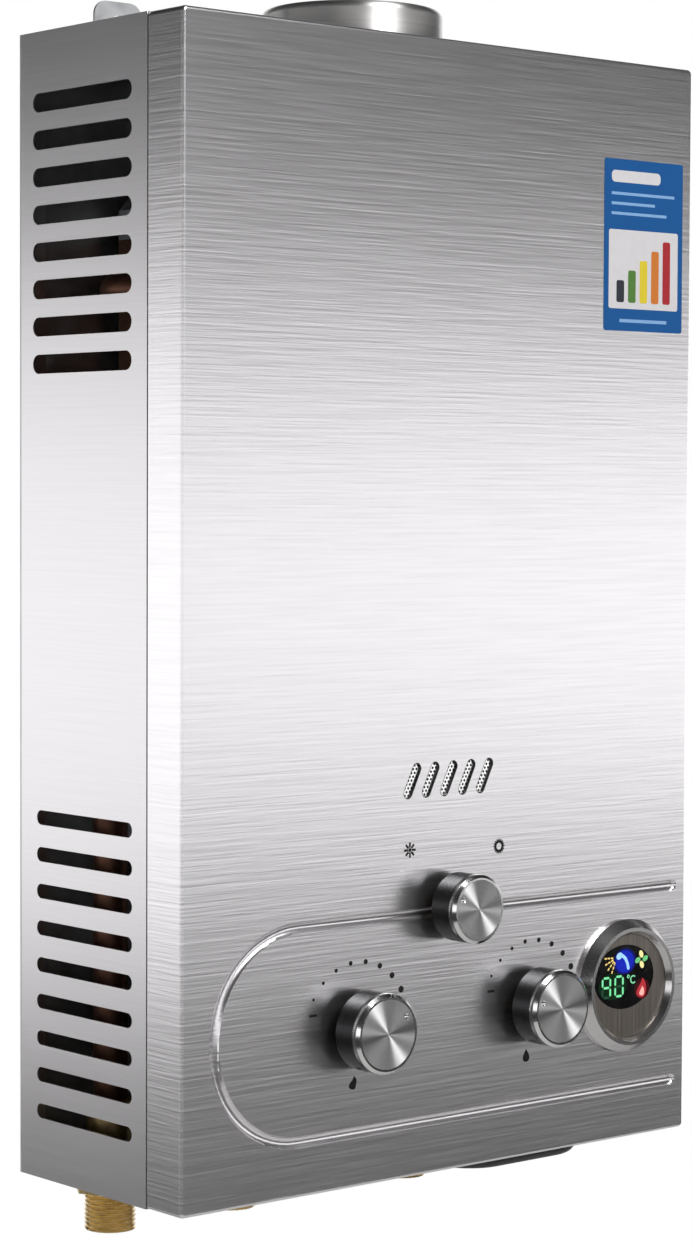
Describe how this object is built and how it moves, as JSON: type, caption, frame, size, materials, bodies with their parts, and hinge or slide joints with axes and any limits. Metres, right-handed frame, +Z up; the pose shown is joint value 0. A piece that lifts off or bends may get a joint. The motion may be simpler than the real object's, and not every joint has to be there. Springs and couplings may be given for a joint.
{
  "type": "tankless water heater",
  "caption": "Wall-hung tankless gas water heater: brushed steel casing with vent slots, a pressed front cover with turning knobs and a round display, a flue collar and threaded pipes.",
  "frame": {"origin": "centre of the wall-hole pattern, on the back plate's rear face", "axes": "+Y into the wall, -Y to the front with the knobs, +Z up towards the flue, +X right from the front"},
  "size_m": [0.276, 0.127, 0.5],
  "materials": {
    "steel": "brushed stainless sheet",
    "galvanised": "zinc-coated sheet",
    "screen": "bright perforated sheet",
    "fastener": "zinc-plated",
    "knob_chrome": "dark chrome plating on plastic",
    "spun_aluminium": "spun",
    "brass": "turned",
    "bezel_chrome": "chrome plating on plastic",
    "smoked_lens": "smoked, brushed",
    "board": "solder mask",
    "black_plastic": "moulded",
    "polished_steel": "polished stainless",
    "copper": "copper sheet and tube",
    "burner_steel": "stainless sheet",
    "cast_aluminium": "die cast",
    "ceramic": "glazed ceramic",
    "cell_jacket": "plain jacket"
  },
  "bodies": {
    "casing": {"back_plate": "galvanised", "side_panel_left": "steel", "side_panel_right": "steel", "top_panel": "steel", "bottom_panel": "steel", "front_cover": "steel", "window_screen": "screen", "cover_screws": "fastener", "display_bezel": "bezel_chrome", "display_lens": "smoked_lens", "display_board": "board", "display_ring_nut": "black_plastic", "flue_collar": "polished_steel", "flue_hood": "galvanised", "combustion_chamber": "copper", "exchanger_fins": "copper", "exchanger_tube": "copper", "cold_riser": "copper", "hot_pipe": "copper", "hot_outlet": "brass", "gas_inlet": "brass", "cold_inlet": "brass", "pipe_lock_nuts": "brass", "burner_tray": "galvanised", "burner_blades": "burner_steel", "gas_manifold": "cast_aluminium", "gas_nozzles": "brass", "gas_riser": "cast_aluminium", "gas_valve": "cast_aluminium", "water_valve": "brass", "gas_solenoid": "black_plastic", "diaphragm_cover": "brass", "valve_bridge": "cast_aluminium", "microswitch": "black_plastic", "chamber_rails": "galvanised", "valve_bracket": "galvanised", "igniter_box": "black_plastic", "electrodes": "ceramic", "electrode_bracket": "galvanised", "thermostat": "black_plastic", "battery_box": "black_plastic", "d_cells": "cell_jacket", "battery_contacts": "fastener", "cap_hinge_pin": "fastener"},
    "gas_control": {"gas_knob": "knob_chrome", "gas_knob_cap": "spun_aluminium", "gas_spindle": "brass"},
    "water_control": {"water_knob": "knob_chrome", "water_knob_cap": "spun_aluminium", "water_spindle": "brass"},
    "season_control": {"season_knob": "knob_chrome", "season_knob_cap": "spun_aluminium", "season_spindle": "brass"},
    "battery_lid": {"battery_cap": "black_plastic", "cap_contact_strip": "fastener"},
    "flow_link": {"link_rod": "fastener"}
  },
  "joints": [
    {"name": "gas_turn", "type": "hinge", "parent": "casing", "child": "gas_control", "pos_m": [-0.04979, -0.108, -0.166], "axis": [0, 1, 0], "range_deg": [-131, 19]},
    {"name": "water_turn", "type": "hinge", "parent": "casing", "child": "water_control", "pos_m": [0.0457, -0.108, -0.166], "axis": [0, 1, 0], "range_deg": [-3, 147]},
    {"name": "season_turn", "type": "hinge", "parent": "casing", "child": "season_control", "pos_m": [-0.0013, -0.108, -0.1206], "axis": [0, 1, 0], "range_deg": [0, 120]},
    {"name": "battery_cap_hinge", "type": "hinge", "parent": "casing", "child": "battery_lid", "pos_m": [0.02778, -0.0625, -0.2354], "axis": [0, 1, 0], "range_deg": [0, 95]},
    {"name": "flow_slide", "type": "slide", "parent": "casing", "child": "flow_link", "axis": [-1, 0, 0], "range_m": [0, 0.004], "stiffness_N_per_m": 400}
  ]
}
